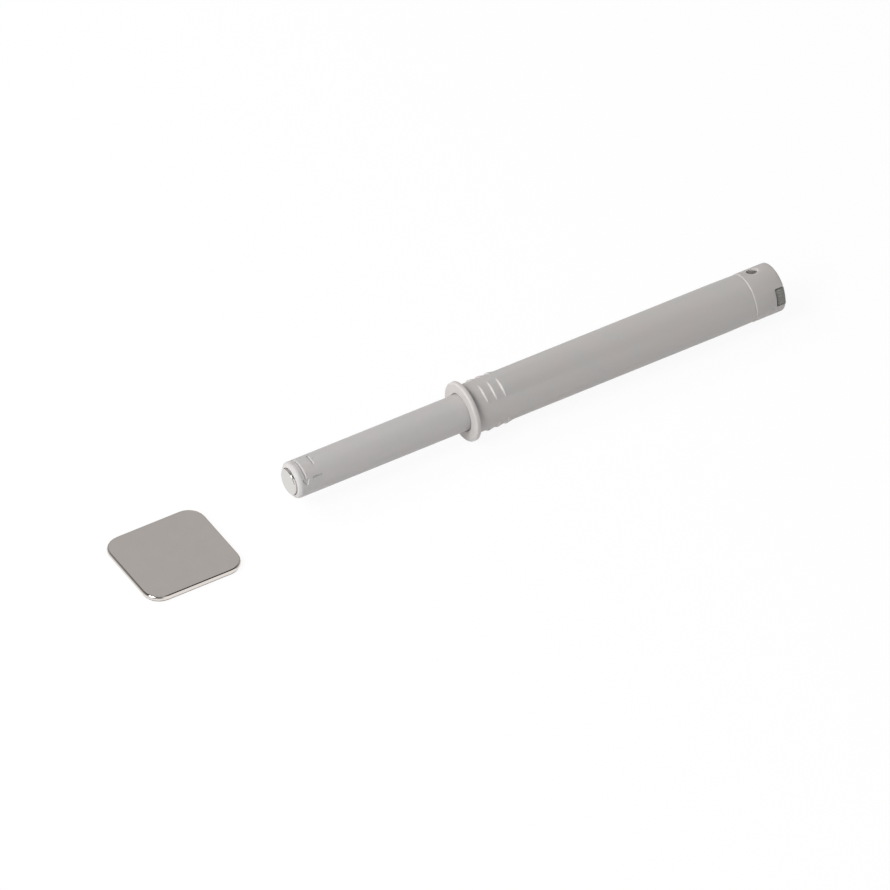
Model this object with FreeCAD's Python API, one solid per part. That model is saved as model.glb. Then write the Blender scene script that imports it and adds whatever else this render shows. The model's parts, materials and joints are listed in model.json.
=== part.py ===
import FreeCAD, Part
import math
import os
from FreeCAD import Vector

# A drill-in push to open catch with its stick-on strike plate. Millimetres.
# The catch lies along Y: its plunger points to -Y, and its flange seats at y = 0.

# Housing tube and flange
housing_d = 10.0
housing_wall = 0.85
flange_lap = 1.1
flange_thick = 1.0
flange_round = 0.4
lip_depth = 1.6
mouth_chamfer = 0.15

# Barbs that grip the drilled hole, in two rows above and two below
barb_turn_deg = 37.0
barbs_per_row = 3
barb_first = 2.75
barb_pitch = 2.05
barb_lead = 0.25
barb_ramp = 1.75
barb_height = 0.3
barb_spread_deg = 49.0

# Keyways in the housing's bore, and the keys that run in them
keyway_depth = 0.35
keyway_width = 1.5
key_side_gap = 0.1
key_top_gap = 0.05

# Rear cap
cap_rim_round = 0.4
window_d = 2.5
window_setback = 2.8
notch_width = 3.3
notch_depth = 1.85
notch_corner = 0.3

# Plunger
plunger_step = 0.45
plunger_wall = 1.6
stroke = 38.0
pressed_stand = 0.15
nose_round = 0.85
journal_wall = 0.65
core_wall = 3.6

# Magnet and its pole disc, in the plunger's nose
disc_rim = 1.05
disc_thick = 1.2
disc_stand = 0.45
disc_edge = 0.12
disc_gap = 0.1
disc_lap = 0.8
magnet_length = 6.0
magnet_gap = 0.05

# Guide ring, in which the plunger turns
collar_length = 4.0
sleeve_wall = 0.45
key_wall_length = 2.2
key_wall_gap = 1.0
journal_length = 7.1

# Carriage that the plunger's thread draws along
thread_length = 16.9
spindle_flat_share = 0.68
adjust_travel = 2.5
stem_inset = 0.45
stem_low_gap = 0.2
stem_top_gap = 1.0
pivot_setback = 1.3
stem_end = 1.4

# Wire latch hook
hook_wire_d = 0.8
hook_length = 12.15
hook_bend = 0.6
hook_head_d = 1.3
hook_head_thick = 0.25
hook_dip = 1.0
hook_sides = 8

# Cam block with the heart track
latch_back = 1.0
cam_lead = 7.5
cam_in_housing = 5.1
cam_recess = 0.3
cam_wall = 0.8
cam_floor = 0.6
basin_wall = 2.5
lane_inset = 1.7
lane_gap = 0.2
heart_gap = 0.35
heart_nose = 5.1
heart_waist = 2.2
heart_horn = 0.1
snap_bead = 0.2
snap_bead_width = 0.8
snap_setback = 2.3
lug_gap = 0.2
lug_sink = 0.12
window_sink = 0.45
end_pocket_wall = 1.3
end_pocket_depth = 1.0
end_rib = 1.2

# Return spring
spring_wire_d = 0.55
spring_turns = 7.5
spring_side_gap = 0.2

# Strike plate and its adhesive pad
plate_width = 19.9
plate_length = 21.25
plate_corner = 3.7
plate_thick = 0.8
plate_edge = 0.2
plate_under_edge = 0.12
pad_thick = 0.35
pad_inset = 0.25
plate_standoff = 16.0
plate_side_shift = 1.4

# Clearances
guide_gap = 0.1
slide_gap = 0.08
turn_gap = 0.05
stop_gap = 0.3
seat_gap = 0.1
fit_gap = 0.05

# Straight steps that stand for a quarter round of an edge
round_steps = 2

# How far the catch lies turned about its own axis
roll_deg = -15.5

# Radii
housing_r = housing_d / 2
bore_r = housing_r - housing_wall
flange_r = housing_r + flange_lap
plunger_r = bore_r - plunger_step
thread_r = plunger_r - plunger_wall
journal_r = thread_r + journal_wall
collar_r = bore_r - slide_gap
sleeve_bore_r = journal_r + turn_gap
sleeve_r = sleeve_bore_r + sleeve_wall
spindle_r = thread_r - turn_gap
half_flat = spindle_r * spindle_flat_share
core_r = bore_r - fit_gap
spring_r = bore_r - spring_side_gap - spring_wire_d / 2
spring_bore_r = spring_r - spring_wire_d / 2
stem_top = spring_bore_r - stem_top_gap
lane_x = spring_bore_r - lane_inset
hook_wire_r = hook_wire_d / 2
stem_low = hook_wire_r + stem_low_gap
heart_half_width = lane_x - hook_wire_r - heart_gap
window_r = window_d / 2
disc_r = plunger_r - disc_rim
magnet_r = disc_r - disc_lap
end_pocket_r = core_r - end_pocket_wall

# Stations along the axis, from the nose to the rear
nose_y = -(flange_thick + stroke + pressed_stand)
disc_seat_y = nose_y + disc_thick - disc_stand
magnet_bore_end_y = disc_seat_y + magnet_length + fit_gap
ring_y = lip_depth + stop_gap
shoulder_y = ring_y - seat_gap
spring_seat_y = ring_y + collar_length
journal_end_y = shoulder_y + journal_length
key_wall_y = journal_end_y + key_wall_gap
sleeve_end_y = key_wall_y + key_wall_length
stem_y = sleeve_end_y + adjust_travel + stop_gap
pivot_y = stem_y + pivot_setback
latched_pin_y = pivot_y + hook_length + stroke - latch_back
cam_y = latched_pin_y - cam_lead
basin_end_y = latched_pin_y + latch_back + hook_wire_r + stop_gap
seam_y = cam_y + cam_in_housing
cam_end_y = basin_end_y + basin_wall
rear_y = cam_end_y + cam_recess
floor_z = -flange_r


def turned(outline):
    """Solid turned about the Y axis from (radius, y) corners."""
    corners = [Vector(r, y, 0) for r, y in outline]
    face = Part.Face(Part.makePolygon(corners + corners[:1]))
    return face.revolve(Vector(0, 0, 0), Vector(0, 1, 0), 360)


def rod(radius, y_from, y_to):
    return Part.makeCylinder(radius, y_to - y_from, Vector(0, y_from, 0), Vector(0, 1, 0))


def block(x, y, z):
    """Box between pairs of x, y and z."""
    size = Vector(x[1] - x[0], y[1] - y[0], z[1] - z[0])
    return Part.makeBox(size.x, size.y, size.z, Vector(x[0], y[0], z[0]))


def spun(shape, degrees):
    """Copy turned about the Y axis: positive swings +Z towards +X."""
    copy = shape.copy()
    copy.rotate(Vector(0, 0, 0), Vector(0, 1, 0), degrees)
    return copy


def quarter_round(centre_r, centre_y, size, start_deg):
    """Outline corners along a quarter round. 0 degrees is outwards and 90 towards +Y."""
    angles = [math.radians(start_deg + 90.0 * step / round_steps) for step in range(round_steps + 1)]
    return [(centre_r + size * math.cos(a), centre_y + size * math.sin(a)) for a in angles]


def keys(radius, height, width, y_from, y_to):
    """Two opposite ribs on a round core, towards +X and -X."""
    reach = radius + height
    rib = block((-reach, reach), (y_from, y_to), (-width / 2, width / 2))
    return rib.common(rod(reach, y_from, y_to))


def barb(y_from):
    """One barb: two cones set off the axis, so that it fades into the tube at both ends."""
    half_spread = math.radians(barb_spread_deg / 2)
    crest = housing_r + barb_height
    edge_x = housing_r * math.sin(half_spread)
    edge_z = housing_r * math.cos(half_spread)
    offset = (crest ** 2 - edge_x ** 2 - edge_z ** 2) / (2 * (crest - edge_z))
    crest_r = crest - offset
    end_y = y_from + barb_lead + barb_ramp
    rib = turned([
        (0, y_from),
        (crest_r - barb_height, y_from),
        (crest_r, y_from + barb_lead),
        (crest_r - barb_height, end_y),
        (0, end_y),
    ])
    rib.translate(Vector(0, 0, offset))
    return rib


def housing():
    tube = turned([
        (plunger_r + guide_gap + mouth_chamfer, -flange_thick),
        *quarter_round(flange_r - flange_round, flange_round - flange_thick, flange_round, -90),
        (flange_r, 0),
        (housing_r, 0),
        (housing_r, seam_y),
        (bore_r, seam_y),
        (bore_r, lip_depth),
        (plunger_r + guide_gap, lip_depth),
        (plunger_r + guide_gap, -flange_thick + mouth_chamfer),
    ])
    rows = []
    for angle in (barb_turn_deg, -barb_turn_deg, 180 - barb_turn_deg, 180 + barb_turn_deg):
        for step in range(barbs_per_row):
            rows.append(spun(barb(barb_first + step * barb_pitch), angle))
    bore = rod(bore_r, lip_depth, seam_y)
    tube = tube.fuse([rib.cut(bore) for rib in rows])
    keyway = keys(bore_r, keyway_depth, keyway_width, lip_depth, seam_y)
    snap_y = seam_y - snap_setback
    half_groove = snap_bead_width / 2 + fit_gap
    groove = rod(core_r + snap_bead + fit_gap, snap_y - half_groove, snap_y + half_groove)
    return tube.cut([keyway, groove]).removeSplitter()


def rear_cap():
    cap = turned([
        (bore_r, seam_y),
        (housing_r, seam_y),
        *quarter_round(housing_r - cap_rim_round, rear_y - cap_rim_round, cap_rim_round, 0),
        (bore_r, rear_y),
    ])
    window = Part.makeCylinder(window_r, housing_d, Vector(0, seam_y + window_setback, -housing_r))
    return cap.cut([window, rim_notch(0)])


def rim_notch(inset):
    """Both notches of the cap's rear rim as one bar, or with an inset the lugs that fill them."""
    bar = block(
        (-housing_r, housing_r),
        (rear_y - notch_depth + inset, rear_y + notch_corner),
        (inset - notch_width / 2, notch_width / 2 - inset),
    )
    corners = [edge for edge in bar.Edges if abs(edge.tangentAt(edge.FirstParameter).x) > 0.99]
    return bar.makeFillet(notch_corner - inset, corners)


def heart():
    """Island of the track, with a round seat for the latched pin in its rear end."""
    horn_y = latched_pin_y + heart_horn
    waist_y = latched_pin_y - heart_waist
    corners = [
        Vector(0, latched_pin_y - heart_nose, 0),
        Vector(heart_half_width, waist_y, 0),
        Vector(heart_half_width, horn_y, 0),
        Vector(-heart_half_width, horn_y, 0),
        Vector(-heart_half_width, waist_y, 0),
    ]
    face = Part.Face(Part.makePolygon(corners + corners[:1]))
    depth = hook_dip + lane_gap
    island = face.extrude(Vector(0, 0, depth))
    seat = Part.makeCylinder(hook_wire_r + seat_gap, depth, Vector(0, latched_pin_y, 0))
    island = island.cut(seat)
    island.translate(Vector(0, 0, -cam_floor - depth))
    return island


def cam_block():
    body = rod(core_r, cam_y, cam_end_y)
    chamber = rod(core_r - cam_wall, cam_y, basin_end_y)
    chamber = chamber.common(block((-core_r, core_r), (cam_y, basin_end_y), (-cam_floor, core_r)))
    lane_wall = lane_x + hook_wire_r + lane_gap
    lane_depth = hook_dip + lane_gap
    track = block((-lane_wall, lane_wall), (cam_y, basin_end_y), (-cam_floor - lane_depth, -cam_floor))
    body = body.cut([chamber, track.cut(heart())])

    snap_y = seam_y - snap_setback
    bead_r = core_r + snap_bead
    half_bead = snap_bead_width / 2
    bead = rod(bead_r, snap_y - half_bead, snap_y + half_bead)
    bead = bead.cut(rod(core_r - cam_wall / 2, snap_y - half_bead, snap_y + half_bead))
    key_width = keyway_width - 2 * key_side_gap
    key_height = keyway_depth - key_top_gap
    side_keys = keys(core_r, key_height, key_width, cam_y, seam_y - fit_gap)
    side_keys = side_keys.cut(rod(core_r - cam_wall / 2, cam_y, seam_y))
    boss_y = seam_y + window_setback
    boss_r = window_r - lug_gap
    boss = Part.makeCylinder(boss_r, housing_d, Vector(0, boss_y, -housing_r))
    boss = boss.common(rod(housing_r - window_sink, boss_y - boss_r, boss_y + boss_r))
    boss = boss.cut(rod(core_r - cam_wall / 2, boss_y - boss_r, boss_y + boss_r))
    lugs = rim_notch(lug_gap).common(rod(housing_r - lug_sink, seam_y, rear_y - lug_sink))
    lugs = lugs.cut(rod(core_r - cam_wall / 2, seam_y, rear_y))
    body = body.fuse([bead, side_keys, boss, lugs])

    pocket = rod(end_pocket_r, cam_end_y - end_pocket_depth, cam_end_y)
    rib = block(
        (-end_pocket_r, end_pocket_r),
        (cam_end_y - end_pocket_depth, cam_end_y),
        (-end_rib / 2, end_rib / 2),
    )
    return body.cut(pocket.cut(rib)).removeSplitter()


def return_spring():
    """One wire, of square section, wound from the guide ring's collar to the cam block's front rim."""
    wire_r = spring_wire_d / 2
    start_y = spring_seat_y + seat_gap + wire_r
    length = cam_y - fit_gap - wire_r - start_y
    path = Part.Wire(Part.makeHelix(length / spring_turns, length, spring_r).Edges)
    corners = [Vector(spring_r + x, 0, z) for x, z in ((wire_r, 0), (0, wire_r), (-wire_r, 0), (0, -wire_r))]
    section = Part.makePolygon(corners + corners[:1])
    coil = path.makePipeShell([section], True, True)
    coil.rotate(Vector(0, 0, 0), Vector(1, 0, 0), -90)
    coil.translate(Vector(0, start_y, 0))
    return coil


def guide_ring():
    ring = turned([
        (sleeve_bore_r, ring_y),
        (collar_r, ring_y),
        (collar_r, spring_seat_y),
        (sleeve_r, spring_seat_y),
        (sleeve_r, sleeve_end_y),
        (0, sleeve_end_y),
        (0, key_wall_y),
        (sleeve_bore_r, key_wall_y),
    ])
    key_width = keyway_width - 2 * key_side_gap
    key_height = bore_r + keyway_depth - key_top_gap - collar_r
    side_keys = keys(collar_r, key_height, key_width, ring_y, spring_seat_y)
    side_keys = side_keys.cut(rod(sleeve_r, ring_y, spring_seat_y))
    hole = flatted_rod(spindle_r + slide_gap, half_flat + slide_gap, key_wall_y, sleeve_end_y)
    return ring.fuse(side_keys).cut(hole).removeSplitter()


def flatted_rod(radius, half_height, y_from, y_to):
    """Round rod with a flat above and below."""
    flats = block((-radius, radius), (y_from, y_to), (-half_height, half_height))
    return rod(radius, y_from, y_to).common(flats)


def plunger():
    tube = turned([
        (0, nose_y),
        *quarter_round(plunger_r - nose_round, nose_y + nose_round, nose_round, -90),
        (plunger_r, shoulder_y),
        (journal_r, shoulder_y),
        (journal_r, journal_end_y),
        (thread_r, journal_end_y),
        (thread_r, magnet_bore_end_y + core_wall),
        (0, magnet_bore_end_y + core_wall),
    ])
    disc_pocket = rod(disc_r + disc_gap, nose_y, disc_seat_y)
    magnet_bore = rod(magnet_r + magnet_gap, disc_seat_y, magnet_bore_end_y)
    return tube.cut([disc_pocket, magnet_bore])


def pole_disc():
    face_y = nose_y - disc_stand
    return turned([
        (0, face_y),
        (disc_r - disc_edge, face_y),
        (disc_r, face_y + disc_edge),
        (disc_r, disc_seat_y),
        (0, disc_seat_y),
    ])


def magnet():
    return rod(magnet_r, disc_seat_y, disc_seat_y + magnet_length)


def carriage():
    """Flatted spindle for the plunger's thread, and the stem that carries the hook."""
    spindle = flatted_rod(spindle_r, half_flat, journal_end_y - thread_length, stem_y)
    end_y = pivot_y + stem_end
    half_width = spindle_r - stem_inset
    stem = block((-half_width, half_width), (stem_y, end_y), (stem_low, stem_top))
    end_corners = [
        edge for edge in stem.Edges
        if abs(edge.tangentAt(edge.FirstParameter).z) > 0.99
        and abs(edge.CenterOfMass.y - end_y) < 1e-6
    ]
    stem = stem.makeFillet(half_width / 2, end_corners)
    hole_r = hook_wire_r + turn_gap
    pivot_hole = Part.makeCylinder(hole_r, stem_top - stem_low, Vector(0, pivot_y, stem_low))
    return spindle.fuse(stem.cut(pivot_hole))


def latch_hook():
    """Wire from its headed pivot leg along the arm to the pin, tilted into the entry lane."""
    head_z = stem_top + seat_gap
    pin_z = -cam_floor - hook_dip
    leg = Part.makeLine(Vector(0, 0, head_z), Vector(0, 0, hook_bend))
    leg_bend = quarter_bend(Vector(0, 0, hook_bend), Vector(0, hook_bend, 0), Vector(0, hook_bend, hook_bend))
    arm = Part.makeLine(Vector(0, hook_bend, 0), Vector(0, hook_length - hook_bend, 0))
    pin_bend = quarter_bend(
        Vector(0, hook_length - hook_bend, 0),
        Vector(0, hook_length, -hook_bend),
        Vector(0, hook_length - hook_bend, -hook_bend),
    )
    pin = Part.makeLine(Vector(0, hook_length, -hook_bend), Vector(0, hook_length, pin_z))
    path = Part.Wire([leg, leg_bend, arm, pin_bend, pin])
    turns = [math.radians(360.0 * side / hook_sides) for side in range(hook_sides)]
    corners = [Vector(hook_wire_r * math.cos(t), hook_wire_r * math.sin(t), head_z) for t in turns]
    section = Part.makePolygon(corners + corners[:1])
    wire = path.makePipeShell([section], True, False)
    head = Part.makeCylinder(hook_head_d / 2, hook_head_thick, Vector(0, 0, head_z))
    hook = wire.fuse(head)
    tilt = math.degrees(math.asin(lane_x / hook_length))
    hook.rotate(Vector(0, 0, 0), Vector(0, 0, 1), tilt)
    hook.translate(Vector(0, pivot_y, 0))
    return hook


def quarter_bend(start, end, centre):
    """Quarter circle from start to end about a centre."""
    middle = (start - centre + end - centre).normalize() * (start - centre).Length + centre
    return Part.Arc(start, middle, end).toShape()


def rounded_tile(width, length, corner, thick, low_z):
    tile = block((-width / 2, width / 2), (-length / 2, length / 2), (low_z, low_z + thick))
    uprights = [edge for edge in tile.Edges if abs(edge.tangentAt(edge.FirstParameter).z) > 0.99]
    tile = tile.makeFillet(corner, uprights)
    tile.translate(Vector(plate_side_shift, nose_y - plate_standoff - plate_length / 2, 0))
    return tile


def adhesive_pad():
    width = plate_width - 2 * pad_inset
    length = plate_length - 2 * pad_inset
    return rounded_tile(width, length, plate_corner - pad_inset, pad_thick, floor_z)


def strike_plate():
    low_z = floor_z + pad_thick
    plate = rounded_tile(plate_width, plate_length, plate_corner, plate_thick, low_z)
    top = [edge for edge in plate.Edges if edge.BoundBox.ZMin > low_z + plate_thick - 1e-6]
    plate = plate.makeChamfer(plate_edge, top)
    under = [edge for edge in plate.Edges if edge.BoundBox.ZMax < low_z + 1e-6]
    return plate.makeChamfer(plate_under_edge, under)


def write_part():
    """Write each piece to its own file, the catch's own pieces turned as it lies."""
    lying = {
        "housing": housing(),
        "rear_cap": rear_cap(),
        "cam_block": cam_block(),
        "return_spring": return_spring(),
        "guide_ring": guide_ring(),
        "plunger": plunger(),
        "pole_disc": pole_disc(),
        "magnet": magnet(),
        "carriage": carriage(),
        "latch_hook": latch_hook(),
    }
    pieces = {name: spun(shape, roll_deg) for name, shape in lying.items()}
    pieces["strike_plate"] = strike_plate()
    pieces["adhesive_pad"] = adhesive_pad()
    os.makedirs("parts", exist_ok=True)
    for name, shape in pieces.items():
        shape.exportStep("parts/" + name + ".step")


write_part()
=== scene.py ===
import json
import math

import bmesh
import bpy
from bpy.props import FloatProperty, FloatVectorProperty, PointerProperty
from mathutils import Matrix, Vector

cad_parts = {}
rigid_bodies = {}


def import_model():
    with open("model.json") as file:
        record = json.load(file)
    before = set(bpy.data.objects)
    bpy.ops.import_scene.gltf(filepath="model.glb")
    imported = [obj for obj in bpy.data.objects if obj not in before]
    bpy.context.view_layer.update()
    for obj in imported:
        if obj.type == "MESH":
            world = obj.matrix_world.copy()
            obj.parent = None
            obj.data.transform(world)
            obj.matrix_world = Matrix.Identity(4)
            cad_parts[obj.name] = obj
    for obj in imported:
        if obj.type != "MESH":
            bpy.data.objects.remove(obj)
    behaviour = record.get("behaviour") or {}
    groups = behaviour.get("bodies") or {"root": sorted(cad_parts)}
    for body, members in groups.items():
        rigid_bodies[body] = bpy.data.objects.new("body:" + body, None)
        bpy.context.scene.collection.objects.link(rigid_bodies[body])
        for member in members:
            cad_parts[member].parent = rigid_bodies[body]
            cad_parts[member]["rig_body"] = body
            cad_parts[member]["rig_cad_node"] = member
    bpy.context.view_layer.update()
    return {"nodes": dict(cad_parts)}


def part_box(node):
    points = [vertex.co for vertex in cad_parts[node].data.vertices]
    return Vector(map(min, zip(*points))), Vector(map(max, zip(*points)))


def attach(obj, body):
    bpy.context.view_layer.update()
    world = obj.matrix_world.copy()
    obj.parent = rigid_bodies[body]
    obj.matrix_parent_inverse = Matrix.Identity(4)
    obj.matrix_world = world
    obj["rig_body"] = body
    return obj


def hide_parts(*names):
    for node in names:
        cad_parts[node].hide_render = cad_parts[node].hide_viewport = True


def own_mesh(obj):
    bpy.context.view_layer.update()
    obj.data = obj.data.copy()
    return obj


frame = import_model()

bl_info = {
    "name": "Push To Open Catch",
    "version": (1, 0, 0),
    "blender": (4, 5, 0),
    "location": "View3D > Sidebar > Catch",
    "description": "Dresses a drill-in push to open catch and its strike plate",
    "category": "Object",
}

MM = 0.001
ROLL = math.radians(-15.5)
LATHE_STEPS = 160
CAP_STEPS = 72  # no facet's edge runs along the side of a notch or a window
FLAT_LIMIT = 1e-7  # heights this close, in metres, are level
FLOOR_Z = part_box("adhesive_pad")[0].z  # in metres

# Stations along the catch's axis and radii round it, in millimetres, as in the solids
NOSE_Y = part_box("plunger")[0].y / MM
JOURNAL_END_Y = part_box("plunger")[1].y / MM
SEAM_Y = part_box("rear_cap")[0].y / MM
REAR_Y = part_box("rear_cap")[1].y / MM
FLANGE_THICK = 1.0
FLANGE_R = 6.1
TUBE_R = 5.0
BORE_R = 4.15
LIP_R = 3.8
LIP_DEPTH = 1.6
PLUNGER_R = 3.7
JOURNAL_R = 2.75
SHOULDER_Y = 1.8
THREAD_R = 2.1
DISC_R = 2.65
DISC_STAND = 0.45
DISC_SEAT_Y = NOSE_Y + 0.75
MAGNET_R = 1.85
MAGNET_BORE_END_Y = DISC_SEAT_Y + 6.05
THREAD_FRONT_Y = MAGNET_BORE_END_Y + 3.6

# Cuts, barbs, gaps and the spring's winding, in millimetres and degrees
MOUTH_CHAMFER = 0.22
KEYWAY_DEPTH = 0.33
KEYWAY_HALF = 0.75
SNAP_GROOVE_R = BORE_R + 0.2
SNAP_GROOVE_Y = SEAM_Y - 2.3
SNAP_GROOVE_HALF = 0.45
BARB_FIRST = 2.68
BARB_PITCH = 2.0
BARB_LEAD = 0.3
BARB_RAMP = 1.65
BARB_HEIGHT = 0.3
BARB_TURN = 38.0
BARB_HALF_SPREAD = 28.0
BARBS_PER_ROW = 3
WINDOW_R = 1.13
WINDOW_Y = SEAM_Y + 2.8
NOTCH_DEPTH = 2.1
NOTCH_HALF = 1.9
NOTCH_CORNER = 0.3
LUG_SINK = 0.12
LUG_GROWTH = (0.99, 1.24, 1.26)
DISC_GAP = 0.1
MAGNET_GAP = 0.05
PLATE_CORNER = 3.7
SPRING_TURNS = 8
SPRING_GAP = 0.2

# Sockets of a Mix node that mixes colours
MIX_FIRST, MIX_SECOND, MIX_RESULT = 6, 7, 2

# Camera, in degrees, metres and millimetres
AZIMUTH = 58.8
ELEVATION = 41.9
DISTANCE = 2.96
LENS = 623
AIM_RIGHT = -3.825
AIM_UP = -6.6

# Each lamp's name, place in metres and power, and whether polished metal mirrors it
LAMP_SIZE = 0.4
LAMPS = (
    ("key_lamp", (0.1, -0.7, 0.7), 5.8, True),
    ("left_lamp", (-0.55, -0.5, 0.67), 3.5, False),
    ("right_lamp", (0.45, -0.8, 0.4), 2.0, False),
    ("front_lamp", (-0.05, -0.92, 0.36), 1.0, False),
)
SOFT_LIGHT = 0.335
PANEL_WAY = (-0.637, 0.386, 0.668)  # what the plate's top mirrors to the camera
SEEN_RAYS = ("Camera", "Glossy", "Transmission")


def linear(red, green, blue):
    """Colour from its 0 to 255 values on screen."""
    shares = [value / 255 for value in (red, green, blue)]
    return tuple(s / 12.92 if s < 0.04045 else ((s + 0.055) / 1.055) ** 2.4 for s in shares)


def length(label, text, value):
    """A small size in metres, given in millimetres."""
    return FloatProperty(
        name=label, description=text, default=value * MM, min=0.0, precision=5, unit="LENGTH"
    )


def colour(label, text, red, green, blue):
    return FloatVectorProperty(
        name=label, description=text, default=linear(red, green, blue), min=0.0, max=1.0, subtype="COLOR"
    )


class CatchSizes(bpy.types.PropertyGroup):
    flange_round: length("Flange edge", "Radius of the flange's front edge", 0.4)
    nose_round: length("Nose edge", "Radius of the plunger's nose", 0.85)
    cap_round: length("Cap rim", "Radius of the rear cap's rim", 0.4)
    seam_bevel: length("Seam bevel", "Length of the rear cap's chamfer at the seam", 0.32)
    edge_bevel: length("Cut edges", "Rounding of the edges of windows and notches", 0.1)
    mark_width: length("Mark width", "Width of the grooves of the engraved turn marks", 0.5)
    mark_depth: length("Mark depth", "Depth of the engraved turn marks", 0.24)
    plate_round: length("Plate edge", "Radius of the strike plate's upper edge", 0.5)
    wire: length("Spring wire", "Diameter of the return spring's wire", 0.55)


class CatchColours(bpy.types.PropertyGroup):
    housing: colour("Housing", "Moulded plastic of the tube and rear cap", 181, 177, 175)
    plunger: colour("Plunger", "Moulded plastic of the plunger", 180, 177, 176)
    core: colour("Core", "Darker plastic inside the tube", 118, 117, 113)
    disc: colour("Pole disc", "Bright nickel of the pole disc", 214, 212, 209)
    plate: colour("Strike plate", "Satin nickel of the strike plate", 226, 219, 213)
    steel: colour("Steel", "Drawn steel of the spring and the hook", 190, 190, 192)
    pad: colour("Adhesive pad", "Foam pad under the strike plate", 170, 168, 165)


class Value:
    """A shader socket. Arithmetic on it adds Math nodes."""

    def __init__(self, tree, socket=None):
        self.tree = tree
        self.socket = socket

    def node(self, kind, settings=None, sockets=None, output=0, stops=None):
        """Add a node. Its settings and a ramp's stops come first, then its sockets' values or links."""
        made = self.tree.nodes.new(kind)
        for name, setting in (settings or {}).items():
            setattr(made, name, setting)
        if stops:
            ramp = made.color_ramp.elements
            while len(ramp) < len(stops):
                ramp.new(0.5)
            for element, (place, grey) in zip(ramp, stops):
                element.position = place
                element.color = (grey, grey, grey, 1)
        for name, value in (sockets or {}).items():
            if isinstance(value, Value):
                self.tree.links.new(value.socket, made.inputs[name])
            else:
                made.inputs[name].default_value = value
        return Value(self.tree, made.outputs[output] if made.outputs else None)

    def math(self, operation, first, second=None):
        sockets = {0: first} if second is None else {0: first, 1: second}
        return self.node("ShaderNodeMath", {"operation": operation}, sockets)

    def __add__(self, other):
        return self.math("ADD", self, other)

    __radd__ = __add__

    def __mul__(self, other):
        return self.math("MULTIPLY", self, other)

    __rmul__ = __mul__

    def __sub__(self, other):
        return self.math("SUBTRACT", self, other)

    def __rsub__(self, other):
        return self.math("SUBTRACT", other, self)

    def between(self, first, second):
        """Colour from first to second as this value goes from 0 to 1."""
        sockets = {0: self, MIX_FIRST: first, MIX_SECOND: second}
        return self.node("ShaderNodeMix", {"data_type": "RGBA"}, sockets, output=MIX_RESULT)

    def remap(self, low, high, first=0.0, last=1.0):
        """First where this is low, last where it is high, and even steps between."""
        sockets = {"Value": self, "From Min": low, "From Max": high, "To Min": first, "To Max": last}
        return self.node("ShaderNodeMapRange", None, sockets)

    def ramp(self, *stops):
        """Grey from pairs of this value and a grey."""
        return self.node("ShaderNodeValToRGB", None, {0: self}, stops=stops)

    def noise(self, size, detail=2.0, seed=(0.0, 0.0, 0.0)):
        """Soft noise on this vector, with patches of about one size in millimetres."""
        moved = self.node("ShaderNodeMapping", None, {"Vector": self, "Location": seed})
        sockets = {"Vector": moved, "Scale": 1 / (size * MM), "Detail": detail}
        return moved.node("ShaderNodeTexNoise", None, sockets)

    def part(self, index):
        """One number of this vector."""
        return self.node("ShaderNodeSeparateXYZ", None, {0: self}, output=index)

    def band(self, centre, half, fade):
        """1 where this is within half of a centre, fading to 0 over a further distance, in millimetres."""
        away = self.math("ABSOLUTE", self - centre * MM)
        return away.remap(half * MM, (half + fade) * MM, 1.0, 0.0)

    def bump(self, depth):
        """Normal for this height, with its full depth in millimetres."""
        return self.node("ShaderNodeBump", None, {"Height": self, "Strength": 1.0, "Distance": depth * MM})


def shade(base, factor):
    """A colour made lighter or darker, with full alpha."""
    return tuple(min(1.0, channel * factor) for channel in base[:3]) + (1.0,)


def new_tree(owner):
    """An emptied node tree and its object coordinates."""
    owner.use_nodes = True
    tree = owner.node_tree
    tree.nodes.clear()
    return tree, Value(tree).node("ShaderNodeTexCoord", output="Object")


def surface(name, build):
    """Material whose build function gives the sockets of its one shader from object coordinates."""
    material = bpy.data.materials.new(name)
    tree, place = new_tree(material)
    shader = place.node("ShaderNodeBsdfPrincipled", None, build(place), output="BSDF")
    shader.node("ShaderNodeOutputMaterial", None, {"Surface": shader})
    return material


def moulded_plastic(name, base, grain=0.004, painted_highlight=None):
    """Matt moulded plastic: cloudy mottling with a fine spark-eroded grain, and a painted highlight that
    is paler where its mask is 1.
    """

    def build(place):
        cloud = place.noise(5.0, detail=3.0)
        fleck = place.noise(0.7, seed=(0.3, 0.1, 0.2))
        tone = cloud * 0.7 + fleck * 0.3
        warm = (base[0] * 1.02, base[1] * 0.995, base[2] * 0.99, 1.0)
        cool = (base[0] * 0.975, base[1], base[2], 1.0)
        skin = place.noise(0.16)
        colour = tone.ramp((0.38, 0.0), (0.62, 1.0)).between(warm, cool)
        if painted_highlight:
            # Painted highlight: the colour is lightened where edges would catch the light
            colour = painted_highlight(place).between(colour, shade(base, 1.45))
        return {
            "Base Color": colour,
            "Roughness": 0.44 + fleck * 0.14,
            "Normal": skin.bump(grain),
        }

    return surface(name, build)


def satin_metal(name, base, roughness, blotch=0.06, grain=0.0015, polished_below=None):
    """Satin nickel: even, with faint blotches and a very fine grain, polished below a height."""
    polish = 0.07

    def build(place):
        patch = place.noise(3.0, detail=4.0)
        fine = place.noise(0.12, detail=3.0, seed=(0.2, 0.4, 0.1))
        tone = patch * 0.6 + fine * 0.4
        satin = (roughness - 0.05) + fine * 0.1
        if polished_below is not None:
            height = place.part(2)
            satin = polish + (satin - polish) * height.math("GREATER_THAN", height, polished_below)
        return {
            "Base Color": tone.between(shade(base, 1 - blotch), shade(base, 1 + blotch)),
            "Metallic": 1.0,
            "Roughness": satin,
            "Normal": fine.bump(grain),
        }

    return surface(name, build)


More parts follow.
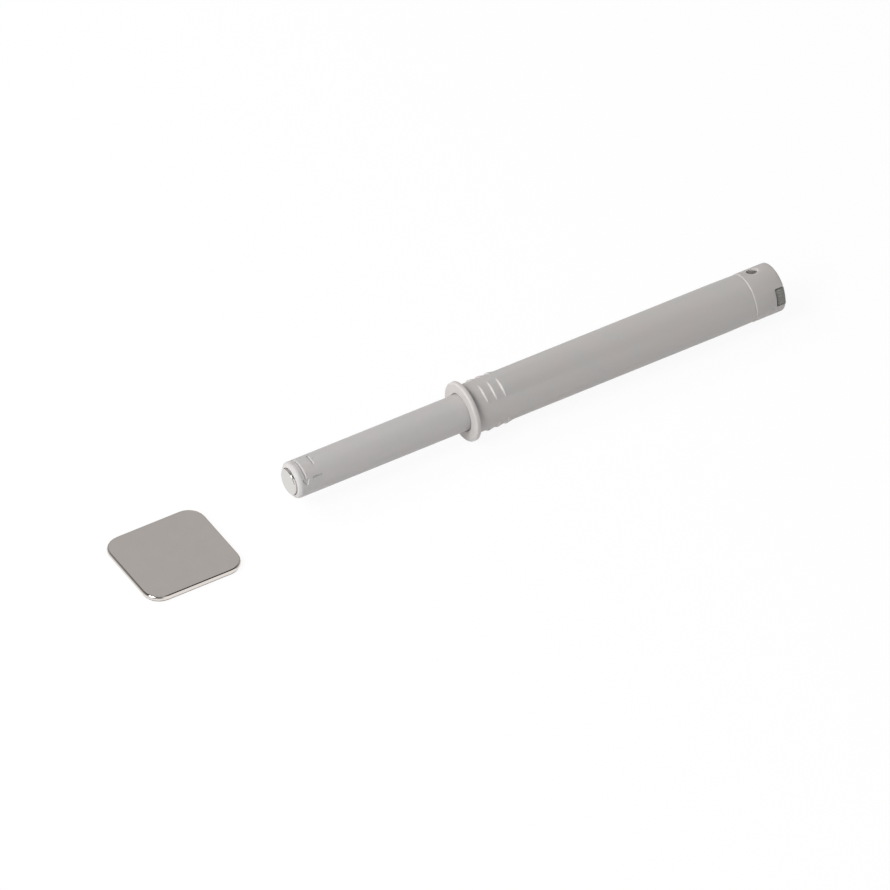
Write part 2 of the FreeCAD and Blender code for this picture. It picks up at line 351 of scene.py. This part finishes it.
def drawn_wire(name, base):
    """Drawn steel with faint die lines and darker oxide patches."""

    def build(place):
        patch = place.noise(1.2, detail=3.0)
        line = place.noise(0.08)
        return {
            "Base Color": patch.between(shade(base, 0.8), shade(base, 1.05)),
            "Metallic": 1.0,
            "Roughness": 0.24 + line * 0.12,
            "Normal": line.bump(0.001),
        }

    return surface(name, build)


def foam(name, base):
    """Closed-cell foam with pores along its cut edge."""

    def build(place):
        pore_size = 0.12 * MM
        pore = place.node("ShaderNodeTexVoronoi", None, {"Vector": place, "Scale": 1 / pore_size})
        return {
            "Base Color": pore.between(shade(base, 0.72), shade(base, 1.08)),
            "Roughness": 0.85,
            "Normal": pore.bump(0.02),
        }

    return surface(name, build)


def only(piece):
    """Select this object and nothing else."""
    bpy.ops.object.select_all(action="DESELECT")
    piece.select_set(True)
    bpy.context.view_layer.objects.active = piece


def edit(piece):
    """Enter edit mode on one object with all of it selected, and give its bmesh."""
    only(piece)
    bpy.ops.object.mode_set(mode="EDIT")
    bpy.ops.mesh.select_all(action="SELECT")
    return bmesh.from_edit_mesh(piece.data)


def leave():
    bpy.ops.object.mode_set(mode="OBJECT")


def select_edges(piece, wanted):
    """Select in edit mode the edges whose two ends pass a test."""
    mesh = bmesh.from_edit_mesh(piece.data)
    bpy.ops.mesh.select_all(action="DESELECT")
    bpy.ops.mesh.select_mode(type="EDGE")
    for edge in mesh.edges:
        edge.select_set(wanted(edge.verts[0].co, edge.verts[1].co))
    bmesh.update_edit_mesh(piece.data)


def apply_modifier(piece, kind, **settings):
    only(piece)
    bpy.ops.object.modifier_add(type=kind)
    modifier = piece.modifiers[-1]
    for name, value in settings.items():
        setattr(modifier, name, value)
    bpy.ops.object.modifier_apply(modifier=modifier.name)


def carve(piece, tool, operation="DIFFERENCE"):
    """Cut a tool from a piece, or join it on, and drop the tool."""
    apply_modifier(piece, "BOOLEAN", operation=operation, object=tool, solver="EXACT")
    bpy.data.objects.remove(tool)


def settle(piece, x=0.0, y=0.0, z=0.0):
    """Turn an object and leave the turn in its mesh."""
    only(piece)
    piece.rotation_mode = "XYZ"
    piece.rotation_euler = (x, y, z)
    bpy.ops.object.transform_apply(location=True, rotation=True, scale=True)


def copy_of(piece, name):
    twin = piece.copy()
    twin.data = piece.data.copy()
    twin.name = name
    bpy.context.collection.objects.link(twin)
    return twin


def join(pieces):
    only(pieces[0])
    for piece in pieces[1:]:
        piece.select_set(True)
    bpy.ops.object.join()
    return pieces[0]


def close_up(piece):
    """Merge doubled points and turn every face outwards."""
    edit(piece)
    bpy.ops.mesh.remove_doubles(threshold=0.0005 * MM)
    bpy.ops.mesh.normals_make_consistent(inside=False)
    leave()


def finish_piece(piece, material, body, slot, *nodes, angle=35.0):
    """Smooth, paint and hand over one piece, which stands for the named nodes of the frame."""
    only(piece)
    bpy.ops.object.shade_smooth_by_angle(angle=math.radians(angle))
    piece.data.materials.clear()
    piece.data.materials.append(material)
    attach(piece, body)
    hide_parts(*nodes)


def arc(centre_r, centre_y, radius, start, end, steps=6):
    """Outline corners on an arc. 0 degrees is outwards and 90 towards +Y."""
    turns = [math.radians(start + (end - start) * step / steps) for step in range(steps + 1)]
    return [(centre_r + radius * math.cos(turn), centre_y + radius * math.sin(turn)) for turn in turns]


def outline_wire(name, outline, closed=True):
    """A chain of points, drawn by extruding one vertex from corner to corner, in millimetres."""
    bpy.ops.object.select_all(action="DESELECT")
    bpy.ops.mesh.primitive_plane_add(size=MM)
    piece = bpy.context.object
    piece.name = name
    piece.data.name = name
    edit(piece)
    bpy.ops.mesh.select_mode(type="VERT")
    bpy.ops.mesh.merge(type="CENTER")
    corners = [Vector(corner) * MM for corner in outline]
    bpy.ops.transform.translate(value=corners[0])
    for last, corner in zip(corners, corners[1:]):
        bpy.ops.mesh.extrude_vertices_move(TRANSFORM_OT_translate={"value": corner - last})
    if closed:
        mesh = bmesh.from_edit_mesh(piece.data)
        mesh.verts.ensure_lookup_table()
        bpy.ops.mesh.select_all(action="DESELECT")
        mesh.verts[0].select_set(True)
        mesh.verts[-1].select_set(True)
        bpy.ops.mesh.edge_face_add()
    bpy.ops.mesh.select_all(action="SELECT")
    return piece


def lathe(name, outline, closed=True, steps=LATHE_STEPS):
    """Piece turned about the Y axis from (radius, y) corners in millimetres."""
    piece = outline_wire(name, [(r, y, 0.0) for r, y in outline], closed)
    bpy.ops.mesh.spin(steps=steps, angle=math.tau, center=(0, 0, 0), axis=(0, 1, 0))
    leave()
    close_up(piece)
    return piece


def ring_groove(name, y, half, depth, angles):
    """Cutter for a V groove round part of the plunger. Angles go from +Z towards +X."""
    above = 0.2
    outer, spread = PLUNGER_R + above, half * (1 + above / depth)
    piece = outline_wire(name, [(PLUNGER_R - depth, y, 0), (outer, y + spread, 0), (outer, y - spread, 0)])
    bpy.ops.mesh.edge_face_add()
    sweep = math.radians(angles[0] - angles[1])
    bpy.ops.mesh.spin(steps=24, angle=sweep, center=(0, 0, 0), axis=(0, 1, 0))
    leave()
    close_up(piece)
    settle(piece, y=math.radians(angles[0] - 90))
    return piece


def box(name, x, y, z, corner=0.0, along="X"):
    """Box between pairs of x, y and z in millimetres, its four edges along one axis rounded."""
    bpy.ops.object.select_all(action="DESELECT")
    bpy.ops.mesh.primitive_cube_add(size=1.0)
    piece = bpy.context.object
    piece.name = name
    piece.scale = [(b - a) * MM for a, b in (x, y, z)]
    piece.location = [(a + b) / 2 * MM for a, b in (x, y, z)]
    bpy.ops.object.transform_apply(location=True, rotation=True, scale=True)
    if corner:
        axis = "XYZ".index(along)
        edit(piece)
        select_edges(piece, lambda a, b: abs((b - a).normalized()[axis]) > 0.99)
        bpy.ops.mesh.bevel(offset=corner * MM, segments=6, affect="EDGES")
        leave()
    return piece


def cylinder(name, radius, depth, centre, turn=(0.0, 0.0, 0.0), vertices=64, far_radius=None):
    """Round or tapering rod about Z, turned and moved into place, in millimetres."""
    bpy.ops.object.select_all(action="DESELECT")
    bpy.ops.mesh.primitive_cone_add(
        vertices=vertices,
        radius1=radius * MM,
        radius2=(radius if far_radius is None else far_radius) * MM,
        depth=depth * MM,
        location=[value * MM for value in centre],
        rotation=turn,
    )
    piece = bpy.context.object
    piece.name = name
    bpy.ops.object.transform_apply(location=True, rotation=True, scale=True)
    return piece


def barbs():
    """Two rows of three barbs above and two below: each is two cones set off the axis."""
    crest = TUBE_R + BARB_HEIGHT
    edge_z = TUBE_R * math.cos(math.radians(BARB_HALF_SPREAD))
    offset = (crest**2 - TUBE_R**2) / (2 * (crest - edge_z))
    crest_r, crest_y = crest - offset, BARB_FIRST + BARB_LEAD
    foot_r, end_y = crest_r - BARB_HEIGHT, crest_y + BARB_RAMP
    pattern = lathe("barb", [
        (0, BARB_FIRST),
        (foot_r, BARB_FIRST),
        (crest_r - 0.06, crest_y - 0.05),
        (crest_r - 0.015, crest_y),
        (crest_r - 0.015, crest_y + 0.06),
        (foot_r, end_y),
        (0, end_y),
    ], closed=False)
    pattern.location.z = offset * MM
    settle(pattern)
    inner_r, front_y, rear_y = TUBE_R - 0.3, BARB_FIRST - 1, end_y + 1
    section = [(0, front_y), (inner_r, front_y), (inner_r, rear_y), (0, rear_y)]
    carve(pattern, lathe("barb_bore", section, closed=False))
    copies = []
    for angle in (BARB_TURN, -BARB_TURN, 180 - BARB_TURN, 180 + BARB_TURN):
        for step in range(BARBS_PER_ROW):
            twin = copy_of(pattern, "barb")
            twin.location.y = step * BARB_PITCH * MM
            settle(twin, y=math.radians(angle))
            copies.append(twin)
    bpy.data.objects.remove(pattern)
    return join(copies)


class CATCH_OT_housing(bpy.types.Operator):
    """Turn the housing tube with its flange, and set the barbs on it"""

    bl_idname = "catch.housing"
    bl_label = "Housing Tube"

    def execute(self, context):
        sizes = context.scene.catch_sizes
        edge = sizes.flange_round / MM
        front_y = -FLANGE_THICK
        groove_front, groove_rear = SNAP_GROOVE_Y - SNAP_GROOVE_HALF, SNAP_GROOVE_Y + SNAP_GROOVE_HALF
        tube = lathe("housing_tube", [
            (LIP_R + MOUTH_CHAMFER, front_y),
            (FLANGE_R - edge - 0.04, front_y),
            *arc(FLANGE_R - edge, front_y + edge, edge, -90, 0),
            *arc(FLANGE_R - 0.08, -0.08, 0.08, 0, 90, 2),
            (TUBE_R + 0.12, 0),
            (TUBE_R, 0.12),
            (TUBE_R, SEAM_Y - 6.0),
            (TUBE_R - 0.09, SEAM_Y),
            (BORE_R, SEAM_Y),
            (BORE_R, groove_rear),
            (SNAP_GROOVE_R, groove_rear),
            (SNAP_GROOVE_R, groove_front),
            (BORE_R, groove_front),
            (BORE_R, LIP_DEPTH),
            (LIP_R, LIP_DEPTH),
            (LIP_R, front_y + MOUTH_CHAMFER),
        ])
        reach = BORE_R + KEYWAY_DEPTH
        carve(tube, box("keyway", (-reach, reach), (LIP_DEPTH, SEAM_Y + 1), (-KEYWAY_HALF, KEYWAY_HALF)))
        carve(tube, barbs(), "UNION")
        settle(tube, y=ROLL)
        close_up(tube)
        base = context.scene.catch_colours.housing
        material = moulded_plastic("housing_plastic", base, painted_highlight=self.painted_crest_highlights)
        finish_piece(tube, material, "root", "housing_plastic", "housing", angle=28.0)
        return {"FINISHED"}

    def painted_crest_highlights(self, place):
        """Mask of painted highlight on the barbs' leading faces and, at part strength, on the flange's
        rounded edge.
        """
        across, along, up = (place.part(index) for index in range(3))
        radius = place.math("SQRT", across * across + up * up)
        proud = radius.remap((TUBE_R + 0.03) * MM, (TUBE_R + 0.1) * MM)
        edge = radius.remap((FLANGE_R - 0.3) * MM, (FLANGE_R - 0.05) * MM)
        first = BARB_FIRST + BARB_LEAD * 0.6
        leads = (along.band(first + BARB_PITCH * step, 0.16, 0.1) for step in range(BARBS_PER_ROW))
        return sum(lead * proud * 0.3 for lead in leads) + edge * 0.35


class CATCH_OT_rear_cap(bpy.types.Operator):
    """Turn the rear cap, and cut its windows and rim notches"""

    bl_idname = "catch.rear_cap"
    bl_label = "Rear Cap"

    def execute(self, context):
        sizes = context.scene.catch_sizes
        rim, bevel = sizes.cap_round / MM, sizes.seam_bevel / MM
        cap = lathe("rear_cap_shell", [
            (BORE_R, SEAM_Y),
            (TUBE_R - 0.2, SEAM_Y),
            (TUBE_R, SEAM_Y + bevel),
            *arc(TUBE_R - rim, REAR_Y - rim, rim, 0, 90),
            (BORE_R, REAR_Y),
        ], steps=CAP_STEPS)
        past = TUBE_R + 1
        carve(cap, cylinder("window", WINDOW_R, 2 * past, (0, WINDOW_Y, 0)))
        notch_y = (REAR_Y - NOTCH_DEPTH, REAR_Y + 1)
        carve(cap, box("notch", (-past, past), notch_y, (-NOTCH_HALF, NOTCH_HALF), NOTCH_CORNER))
        close_up(cap)
        apply_modifier(
            cap, "BEVEL", width=sizes.edge_bevel, segments=3, limit_method="ANGLE",
            angle_limit=math.radians(50), use_clamp_overlap=False, miter_outer="MITER_ARC",
        )
        settle(cap, y=ROLL)
        close_up(cap)
        base = context.scene.catch_colours.housing
        material = moulded_plastic("cap_plastic", base, painted_highlight=self.painted_edge_highlights)
        finish_piece(cap, material, "root", "housing_plastic", "rear_cap", angle=28.0)
        return {"FINISHED"}

    def painted_edge_highlights(self, place):
        """Mask of painted highlight on the chamfer at the seam and on the windows' rims."""
        level = place.node("ShaderNodeMapping", None, {"Vector": place, "Rotation": (0.0, -ROLL, 0.0)})
        seam = level.part(1).band(SEAM_Y + 0.12, 0.12, 0.08)
        across, along = level.part(0), level.part(1) - WINDOW_Y * MM
        away = level.math("SQRT", across * across + along * along)
        return seam.math("MAXIMUM", seam * 0.1, away.band(WINDOW_R + 0.11, 0.08, 0.06) * 0.6)


class CATCH_OT_plunger(bpy.types.Operator):
    """Turn the plunger, and engrave its turn arrow, plus and minus"""

    bl_idname = "catch.plunger"
    bl_label = "Plunger"

    def execute(self, context):
        sizes = context.scene.catch_sizes
        nose = sizes.nose_round / MM
        tube = lathe("plunger_tube", [
            (0, MAGNET_BORE_END_Y),
            (MAGNET_R + MAGNET_GAP, MAGNET_BORE_END_Y),
            (MAGNET_R + MAGNET_GAP, DISC_SEAT_Y),
            (DISC_R + DISC_GAP, DISC_SEAT_Y),
            (DISC_R + DISC_GAP, NOSE_Y + 0.05),
            (DISC_R + DISC_GAP + 0.03, NOSE_Y),
            *arc(PLUNGER_R - nose, NOSE_Y + nose, nose, -90, 0, 8),
            (PLUNGER_R, NOSE_Y + nose + 0.05),
            (PLUNGER_R, SHOULDER_Y),
            (JOURNAL_R, SHOULDER_Y),
            (JOURNAL_R, JOURNAL_END_Y),
            (THREAD_R, JOURNAL_END_Y),
            (THREAD_R, THREAD_FRONT_Y),
            (0, THREAD_FRONT_Y),
        ], closed=False)
        for mark in self.marks(sizes.mark_width / MM, sizes.mark_depth / MM):
            carve(tube, mark)
        close_up(tube)
        base = context.scene.catch_colours.plunger
        material = moulded_plastic("plunger_plastic", base, painted_highlight=self.painted_nose_highlight)
        finish_piece(tube, material, "push_rod", "plunger_plastic", "plunger")
        return {"FINISHED"}

    def painted_nose_highlight(self, place):
        """Mask of painted highlight on the rounded nose, at part strength."""
        return place.part(1).band(NOSE_Y, 0.7, 0.4) * 0.2

    def marks(self, width, depth):
        """Cutters for the turn arrow, the plus and the minus."""
        half = width / 2
        arrow_y, plus_y, minus_y = NOSE_Y + 1.8, NOSE_Y + 4.45, NOSE_Y + 4.35
        return [
            ring_groove("turn_line", arrow_y, half, depth, (-40, 60)),
            self.arrow_head(arrow_y, 64, depth * 0.7),
            ring_groove("plus_bar", plus_y, half, depth, (-17, 21)),
            self.bar("plus_post", plus_y, 2, depth * 0.35),
            self.bar("minus_bar", minus_y, 60, depth),
        ]

    def bar(self, name, y, angle, depth):
        """Cutter for a straight V groove along the plunger."""
        above, bar_length = 0.2, 2.0
        centre = (0, y, PLUNGER_R + above)
        groove = cylinder(name, depth + above, bar_length, centre, (math.pi / 2, 0, 0), vertices=4)
        settle(groove, y=math.radians(angle))
        return groove

    def arrow_head(self, y, angle, depth):
        """Cutter for a three-sided pocket with sloping walls, its point away from +Z."""
        low, rise, size = PLUNGER_R - depth - 0.04, 0.6, 0.8
        centre = (0, 0, low + rise / 2)
        head = cylinder("arrow_head", size, rise, centre, vertices=3, far_radius=size + 2 * rise)
        head.scale.x = 0.87
        settle(head, z=-math.pi / 2)
        head.location.y = y * MM
        settle(head, y=math.radians(angle))
        return head


class CATCH_OT_pole_disc(bpy.types.Operator):
    """Turn the bright pole disc that stands proud of the nose"""

    bl_idname = "catch.pole_disc"
    bl_label = "Pole Disc"

    def execute(self, context):
        face_y = NOSE_Y - DISC_STAND
        edge = 0.14
        disc = lathe("pole_face", [
            (0, face_y),
            (DISC_R - edge - 0.04, face_y),
            *arc(DISC_R - edge, face_y + edge, edge, -90, 0, 5),
            (DISC_R, DISC_SEAT_Y),
            (0, DISC_SEAT_Y),
        ], closed=False)
        base = context.scene.catch_colours.disc
        material = satin_metal("bright_nickel", base, 0.09, blotch=0.02, grain=0.0003)
        finish_piece(disc, material, "push_rod", "bright_nickel", "pole_disc")
        return {"FINISHED"}


class CATCH_OT_strike_plate(bpy.types.Operator):
    """Shape the rounded square strike plate with its rolled edge"""

    bl_idname = "catch.strike_plate"
    bl_label = "Strike Plate"

    def execute(self, context):
        low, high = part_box("strike_plate")
        spans = [(low[axis] / MM, high[axis] / MM) for axis in range(3)]
        plate = box("strike_face", *spans, PLATE_CORNER, "Z")
        edit(plate)
        for level, radius, segments in (
            (high.z, context.scene.catch_sizes.plate_round, 6),
            (low.z, 0.14 * MM, 4),
        ):
            select_edges(plate, lambda a, b: max(abs(a.z - level), abs(b.z - level)) < FLAT_LIMIT)
            bpy.ops.mesh.bevel(offset=radius, segments=segments, affect="EDGES")
        self.inset_flat(plate, high.z)
        leave()
        close_up(plate)
        base = context.scene.catch_colours.plate
        material = satin_metal("satin_nickel", base, 0.3, polished_below=high.z - 0.01 * MM)
        finish_piece(plate, material, "root", "satin_nickel", "strike_plate")
        return {"FINISHED"}

    def inset_flat(self, plate, top):
        """Ring of faces round the upper flat, which keeps its shading level."""
        mesh = bmesh.from_edit_mesh(plate.data)
        bpy.ops.mesh.select_all(action="DESELECT")
        bpy.ops.mesh.select_mode(type="FACE")
        for face in mesh.faces:
            face.select_set(all(abs(corner.co.z - top) < FLAT_LIMIT for corner in face.verts))
        bpy.ops.mesh.inset(thickness=0.05 * MM, depth=0.0)


class CATCH_OT_return_spring(bpy.types.Operator):
    """Wind the return spring from one round wire"""

    bl_idname = "catch.return_spring"
    bl_label = "Return Spring"

    def execute(self, context):
        low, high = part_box("return_spring")
        wire_r = context.scene.catch_sizes.wire / 2
        coil_r = (BORE_R - SPRING_GAP) * MM - wire_r
        start, span = low.y + wire_r, high.y - low.y - 2 * wire_r
        bpy.ops.object.select_all(action="DESELECT")
        bpy.ops.mesh.primitive_circle_add(vertices=16, radius=wire_r, fill_type="NGON")
        coil = bpy.context.object
        coil.name = "coil_spring"
        coil.location = (coil_r, start, 0)
        bpy.ops.object.transform_apply(location=True, rotation=True, scale=True)
        apply_modifier(
            coil, "SCREW", axis="Y", angle=math.tau, screw_offset=span / SPRING_TURNS,
            iterations=SPRING_TURNS, steps=40, render_steps=40, use_normal_calculate=True,
        )
        settle(coil, y=ROLL)
        close_up(coil)
        material = drawn_wire("spring_wire", context.scene.catch_colours.steel)
        finish_piece(coil, material, "root", "spring_steel", "return_spring", angle=50.0)
        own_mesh(coil)
        return {"FINISHED"}


class CATCH_OT_core(bpy.types.Operator):
    """Smooth the cam block, guide ring, carriage and hook as they stand in the frame"""

    bl_idname = "catch.core"
    bl_label = "Core Pieces"

    def execute(self, context):
        colours = context.scene.catch_colours
        dark = moulded_plastic("core_plastic", colours.core, 0.005)
        wire = drawn_wire("hook_wire", colours.steel)
        for node, name, material, body, slot in (
            ("cam_block", "cam_core", dark, "root", "dark_plastic"),
            ("guide_ring", "guide_sleeve", dark, "guide", "dark_plastic"),
            ("carriage", "hook_carriage", dark, "slider", "dark_plastic"),
            ("latch_hook", "wire_hook", wire, "hook", "spring_steel"),
        ):
            piece = copy_of(frame["nodes"][node], name)
            piece.parent = None
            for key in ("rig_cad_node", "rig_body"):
                del piece[key]
            close_up(piece)
            if node == "cam_block":
                self.widen_lugs(piece)
            finish_piece(piece, material, body, slot, node)
        return {"FINISHED"}

    def widen_lugs(self, piece):
        """Grow the two lugs to fill the rim notches, from their rear faces forwards."""
        front_y, rear_y = REAR_Y - 1.9, REAR_Y - LUG_SINK
        settle(piece, y=-ROLL)
        mesh = edit(piece)
        bpy.ops.mesh.select_all(action="DESELECT")
        bpy.ops.mesh.select_mode(type="VERT")
        for corner in mesh.verts:
            x, y, z = corner.co / MM
            corner.select_set(math.hypot(x, z) > BORE_R + 0.1 and y > front_y)
        bpy.ops.transform.resize(value=LUG_GROWTH, center_override=(0, rear_y * MM, 0))
        leave()
        settle(piece, y=ROLL)


class CATCH_OT_kept_nodes(bpy.types.Operator):
    """Paint the magnet and the adhesive pad, whose shapes are right as they are"""

    bl_idname = "catch.kept_nodes"
    bl_label = "Magnet And Pad"

    def execute(self, context):
        colours = context.scene.catch_colours
        for node, material in (
            ("magnet", satin_metal("magnet_plating", colours.steel, 0.22)),
            ("adhesive_pad", foam("pad_foam", colours.pad)),
        ):
            piece = frame["nodes"][node]
            piece.data.materials.clear()
            piece.data.materials.append(material)
        return {"FINISHED"}


class CATCH_OT_stage(bpy.types.Operator):
    """Lay the pale floor, hang the soft lamps and set the camera"""

    bl_idname = "catch.stage"
    bl_label = "Stage"

    def execute(self, context):
        scene = context.scene
        bpy.ops.object.select_all(action="DESELECT")
        bpy.ops.mesh.primitive_plane_add(size=30.0, location=(0, 0, FLOOR_Z))
        floor = bpy.context.object
        floor.name = "floor"
        floor.data.materials.append(self.floor_material())
        self.sky(scene)
        for lamp in LAMPS:
            self.lamp(*lamp)
        self.camera(scene)
        scene.view_settings.view_transform = "Standard"
        return {"FINISHED"}

    def seen(self, tree):
        """1 for what the camera, glossy and transmission rays see, and 0 for light."""
        rays = [Value(tree).node("ShaderNodeLightPath", output=f"Is {kind} Ray") for kind in SEEN_RAYS]
        seen = rays[0]
        for ray in rays[1:]:
            seen = seen.math("MAXIMUM", seen, ray)
        return seen

    def floor_material(self):
        """Pale floor that shows as white and keeps a soft shadow."""
        shadow_share = 0.07  # of the floor's matt surface
        material = bpy.data.materials.new("pale_floor")
        tree, place = new_tree(material)
        matt = place.node("ShaderNodeBsdfDiffuse", None, {"Color": (0.9, 0.9, 0.9, 1)})
        white = place.node("ShaderNodeEmission", None, {"Color": (1, 1, 1, 1), "Strength": 1.0})
        share = (1 - shadow_share) * self.seen(tree)
        mixed = place.node("ShaderNodeMixShader", None, {0: share, 1: matt, 2: white})
        mixed.node("ShaderNodeOutputMaterial", None, {"Surface": mixed})
        return material

    def sky(self, scene):
        """White to the camera, soft light, and a dark room with panels for metal to mirror."""
        scene.world = bpy.data.worlds.new("studio")
        scene.world.use_nodes = True
        tree = scene.world.node_tree
        tree.nodes.clear()
        start = Value(tree)
        way = start.node("ShaderNodeTexCoord", output="Generated")
        across, along, height = (way.part(index) for index in range(3))
        sockets = {0: way, 1: PANEL_WAY}
        facing = way.node("ShaderNodeVectorMath", {"operation": "DOT_PRODUCT"}, sockets, output=1)
        grey_panel = facing.ramp((0.86, 0.03), (0.94, 0.53))
        walls = height.ramp((0.6, 0.36), (0.7, 0.03))
        overhead = height.ramp((0.95, 0.03), (0.97, 0.6))
        room = way.math("MAXIMUM", grey_panel, way.math("MAXIMUM", walls, overhead))
        white_panel = across.remap(0.52, 0.6) * along.remap(-0.25, 0.0)
        dome = white_panel.between(room, (1, 1, 1, 1))
        glossy = start.node("ShaderNodeLightPath", output="Is Glossy Ray")
        camera = start.node("ShaderNodeLightPath", output="Is Camera Ray")
        light = glossy.between((SOFT_LIGHT, SOFT_LIGHT, SOFT_LIGHT, 1), dome)
        seen = camera.between(light, (1, 1, 1, 1))
        out = start.node("ShaderNodeBackground", None, {"Color": seen, "Strength": 1.0})
        out.node("ShaderNodeOutputWorld", None, {"Surface": out})

    def lamp(self, name, place, power, mirrored):
        """Square soft lamp aimed at the catch."""
        bpy.ops.object.light_add(type="AREA", location=place)
        lamp = bpy.context.object
        lamp.name = name
        lamp.data.size = LAMP_SIZE
        lamp.data.energy = power
        lamp.rotation_euler = (-Vector(place)).to_track_quat("-Z", "Y").to_euler()
        lamp.visible_camera = False
        lamp.visible_glossy = mirrored

    def camera(self, scene):
        """Long lens at the photograph's angle."""
        azimuth, elevation = math.radians(AZIMUTH), math.radians(ELEVATION)
        back = Vector((
            math.sin(azimuth) * math.cos(elevation),
            -math.cos(azimuth) * math.cos(elevation),
            math.sin(elevation),
        ))
        right = Vector((math.cos(azimuth), math.sin(azimuth), 0))
        up = back.cross(right)
        aim = (right * AIM_RIGHT + up * AIM_UP) * MM
        bpy.ops.object.camera_add(location=aim + back * DISTANCE)
        camera = bpy.context.object
        camera.name = "camera"
        camera.rotation_euler = Matrix((right, up, back)).transposed().to_euler()
        camera.data.lens = LENS
        camera.data.sensor_width = 36
        camera.data.clip_start = 0.1
        camera.data.clip_end = 100
        scene.camera = camera


OPERATORS = (
    CATCH_OT_stage,
    CATCH_OT_housing,
    CATCH_OT_rear_cap,
    CATCH_OT_plunger,
    CATCH_OT_pole_disc,
    CATCH_OT_strike_plate,
    CATCH_OT_return_spring,
    CATCH_OT_core,
    CATCH_OT_kept_nodes,
)


class VIEW3D_PT_catch(bpy.types.Panel):
    """Sizes, colours and pieces of the catch"""

    bl_idname = "VIEW3D_PT_catch"
    bl_label = "Push To Open Catch"
    bl_space_type = "VIEW_3D"
    bl_region_type = "UI"
    bl_category = "Catch"

    def draw(self, context):
        for group in (context.scene.catch_sizes, context.scene.catch_colours):
            column = self.layout.column(align=True)
            for name in group.__annotations__:
                column.prop(group, name)
        for operator in OPERATORS:
            self.layout.operator(operator.bl_idname)


CLASSES = (CatchSizes, CatchColours, *OPERATORS, VIEW3D_PT_catch)


def register():
    for item in CLASSES:
        bpy.utils.register_class(item)
    bpy.types.Scene.catch_sizes = PointerProperty(type=CatchSizes)
    bpy.types.Scene.catch_colours = PointerProperty(type=CatchColours)


def unregister():
    del bpy.types.Scene.catch_colours
    del bpy.types.Scene.catch_sizes
    for item in reversed(CLASSES):
        bpy.utils.unregister_class(item)


def main():
    register()
    for operator in OPERATORS:
        group, name = operator.bl_idname.split(".")
        getattr(getattr(bpy.ops, group), name)()


if __name__ == "__main__":
    main()
